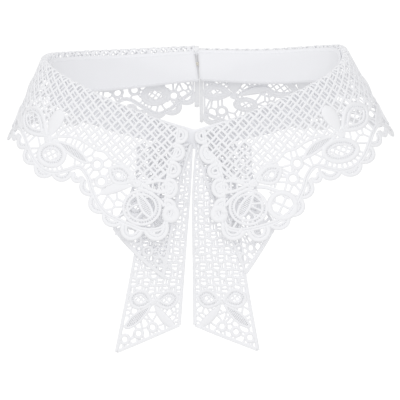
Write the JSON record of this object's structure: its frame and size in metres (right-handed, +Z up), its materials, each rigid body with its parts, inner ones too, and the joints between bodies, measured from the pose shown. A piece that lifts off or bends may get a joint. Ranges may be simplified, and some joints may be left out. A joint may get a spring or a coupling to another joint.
{
  "type": "false collar",
  "caption": "False collar of lace falls over a cloth stand, hooked at the centre back, with lace tails hanging at the front, filled out as if worn.",
  "frame": {"origin": "centre of the neck, at the height of the back neck edge, where the wearer's neck holds the collar", "axes": "+Z up along the neck, +Y to the wearer's back, +X to the right as seen from the front"},
  "size_m": [0.2174, 0.1226, 0.1635],
  "materials": {
    "lace": "white cotton guipure lace, matt thread with a slight sheen on the raised satin stitch",
    "stand_cloth": "plain white cotton cloth, fine weave, stitched edges",
    "tape": "narrow white woven tape",
    "closing_metal": "pale plated wire"
  },
  "bodies": {
    "root": {"stand": "stand_cloth", "fall_left": "lace", "fall_right": "lace", "back_tape_left": "tape", "back_tape_right": "tape", "tail_long_left": "lace", "tail_long_right": "lace", "tail_short_left": "lace", "tail_short_right": "lace", "hook": "closing_metal", "eye": "closing_metal"}
  },
  "joints": []
}
